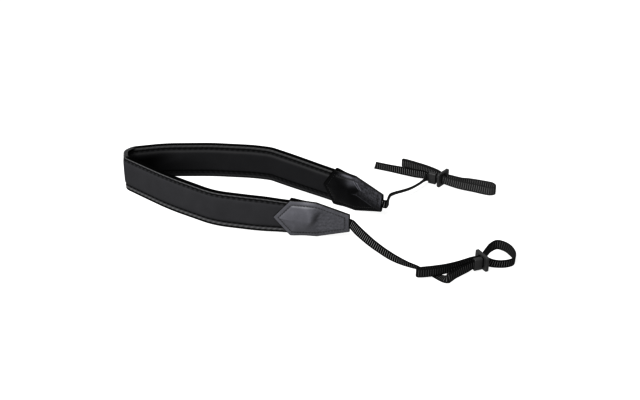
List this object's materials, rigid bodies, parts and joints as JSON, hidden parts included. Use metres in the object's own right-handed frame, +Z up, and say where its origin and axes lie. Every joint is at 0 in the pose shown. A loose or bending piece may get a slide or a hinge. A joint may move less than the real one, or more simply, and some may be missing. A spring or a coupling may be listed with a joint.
{
  "type": "binocular strap",
  "caption": "Padded neck strap for binoculars, laid on its edge in a loop, with leather tips and ribbed webbing ends that pass through keepers and slides and form lug loops.",
  "frame": {"origin": "on the table, below the middle of the whole outline", "axes": "+X to the right along the band from its fold to the lug loops, +Y from the front arm to the rear arm, +Z up"},
  "size_m": [0.43, 0.2457, 0.043],
  "materials": {
    "cover": "matt dark grey woven cover over foam",
    "lining": "matt black knit lining",
    "hide": "satin black leather",
    "nylon": "ribbed black webbing",
    "plastic": "satin moulded black plastic"
  },
  "bodies": {
    "root": {"pad_outer": "cover", "pad_inner": "lining", "leather_front_outer": "hide", "leather_front_inner": "hide", "leather_rear_outer": "hide", "leather_rear_inner": "hide", "webbing_front": "nylon", "webbing_rear": "nylon", "slide_front": "plastic", "slide_rear": "plastic", "keeper_front": "plastic", "keeper_rear": "plastic"}
  },
  "joints": []
}
